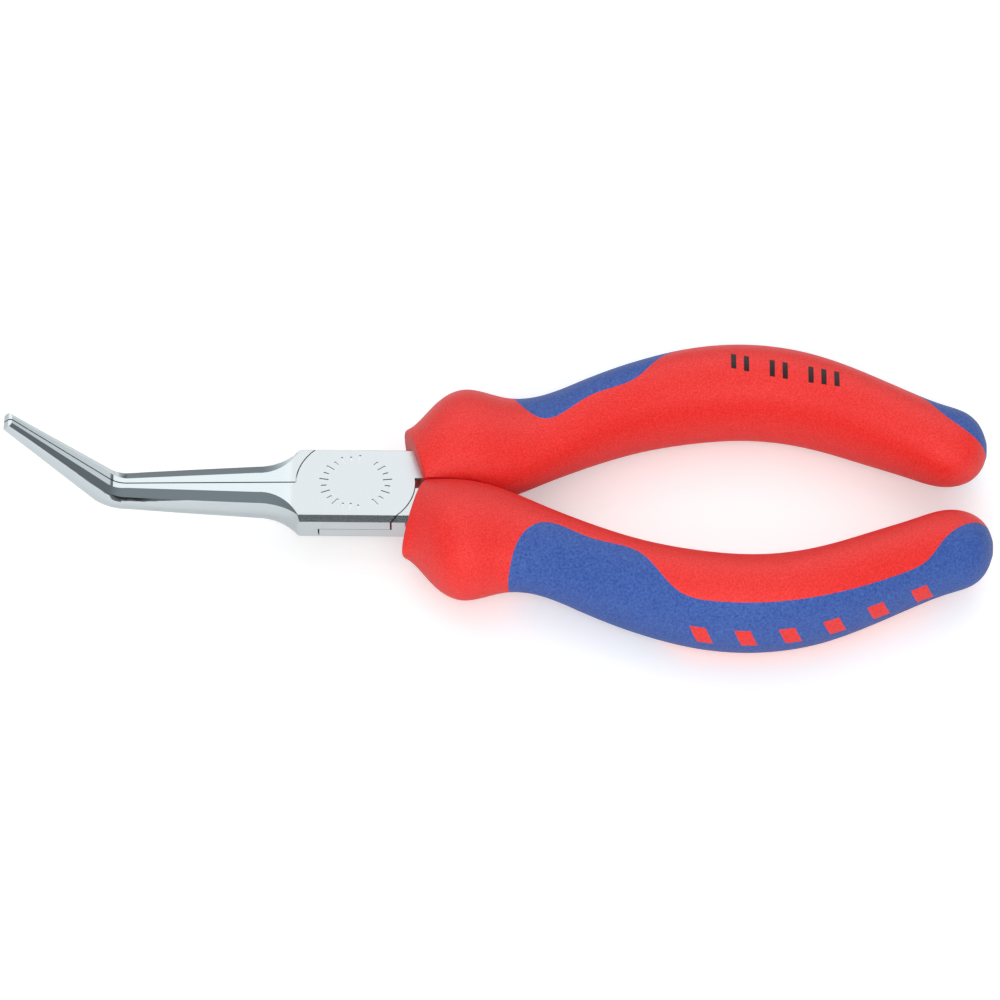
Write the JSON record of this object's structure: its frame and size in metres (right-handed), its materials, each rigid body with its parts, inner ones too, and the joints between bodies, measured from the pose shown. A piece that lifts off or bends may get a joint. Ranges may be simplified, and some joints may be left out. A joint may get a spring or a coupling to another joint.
{
  "type": "needle nose pliers",
  "caption": "Needle nose pliers with slim half-round jaws bent up near the tip, a flush riveted lap joint and bowed two-colour moulded grips.",
  "frame": {"origin": "where the pivot's axis meets the flat back face of the joint", "axes": "+X along the tool towards the handles' ends, +Z square to the joint's flat faces towards the side the tip bends to, +Y the way the handle of the front lever spreads"},
  "size_m": [0.159, 0.06, 0.0259],
  "materials": {
    "chrome_steel": "polished",
    "rivet_steel": "polished",
    "red_grip": "satin",
    "blue_pad": "matte"
  },
  "bodies": {
    "front": {"front_lever": "chrome_steel", "pivot_rivet": "rivet_steel", "far_grip_body": "red_grip", "far_grip_pad": "blue_pad"},
    "rear": {"rear_lever": "chrome_steel", "near_grip_body": "red_grip", "near_grip_pad": "blue_pad"}
  },
  "joints": [
    {"name": "pivot", "type": "hinge", "parent": "front", "child": "rear", "pos_m": [0, 0, 0.0026], "axis": [0, 0, -1], "range_deg": [0, 65]}
  ]
}
